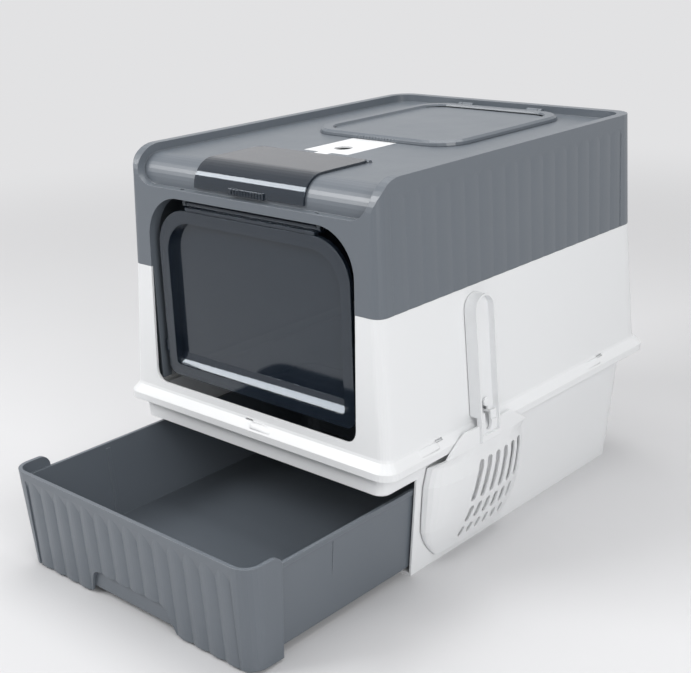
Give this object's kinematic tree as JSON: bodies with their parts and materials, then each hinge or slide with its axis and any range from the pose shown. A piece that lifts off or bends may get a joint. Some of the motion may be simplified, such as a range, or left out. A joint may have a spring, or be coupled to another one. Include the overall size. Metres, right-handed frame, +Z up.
{
  "type": "drawer litter box",
  "caption": "Enclosed two-tone cat litter box with a swinging smoked flap, roof hatch, filter window, hanging scoop and a pull-out litter drawer, shown open.",
  "frame": {"origin": "middle of the flange's footprint, on the floor under the base", "axes": "+Z up, the doorway and the drawer face -Y, the scoop hangs on the +X side"},
  "size_m": [0.4189, 0.7, 0.4407],
  "materials": {
    "white_plastic": "fine satin moulded plastic",
    "grey_plastic": "satin blue-grey moulded plastic",
    "smoked_plastic": "clear smoked plastic, polished",
    "steel": "bright drawn wire",
    "rubber": "matt",
    "carbon_felt": "dull fibre felt"
  },
  "bodies": {
    "housing": {"base_shell": "white_plastic", "rubber_feet": "rubber", "middle_frame": "white_plastic", "hood": "grey_plastic", "door_bracket_left": "smoked_plastic", "door_bracket_right": "smoked_plastic", "flap_hinge_pin": "steel", "window_hinge_pin": "steel", "filter_cup": "grey_plastic", "charcoal_pad": "carbon_felt", "latch_guide": "grey_plastic", "guide_screws": "steel", "hatch_hinge_pins": "steel", "scoop_hook": "white_plastic"},
    "flap": {"flap_door": "smoked_plastic", "flap_hinge_rail": "smoked_plastic"},
    "window": {"window_cover": "smoked_plastic"},
    "latch": {"roof_latch": "white_plastic"},
    "hatch": {"hatch_lid": "grey_plastic"},
    "drawer": {"drawer_tray": "grey_plastic", "drawer_front": "grey_plastic"},
    "scoop": {"scoop": "white_plastic"}
  },
  "joints": [
    {"name": "drawer_slide", "type": "slide", "parent": "housing", "child": "drawer", "axis": [0, -1, 0], "range_m": [-0.198, 0.18]},
    {"name": "flap_swing", "type": "hinge", "parent": "housing", "child": "flap", "pos_m": [0, -0.2318, 0.3835], "axis": [1, 0, 0], "range_deg": [-75, 75]},
    {"name": "window_flip", "type": "hinge", "parent": "housing", "child": "window", "pos_m": [0, -0.134, 0.431], "axis": [-1, 0, 0], "range_deg": [0, 100]},
    {"name": "latch_slide", "type": "slide", "parent": "housing", "child": "latch", "axis": [0, 1, 0], "range_m": [0, 0.01]},
    {"name": "hatch_swing", "type": "hinge", "parent": "housing", "child": "hatch", "pos_m": [0, 0.2195, 0.4352], "axis": [-1, 0, 0], "range_deg": [0, 105]},
    {"name": "scoop_lift", "type": "slide", "parent": "housing", "child": "scoop", "axis": [0, 0, 1], "range_m": [0, 0.004]}
  ]
}
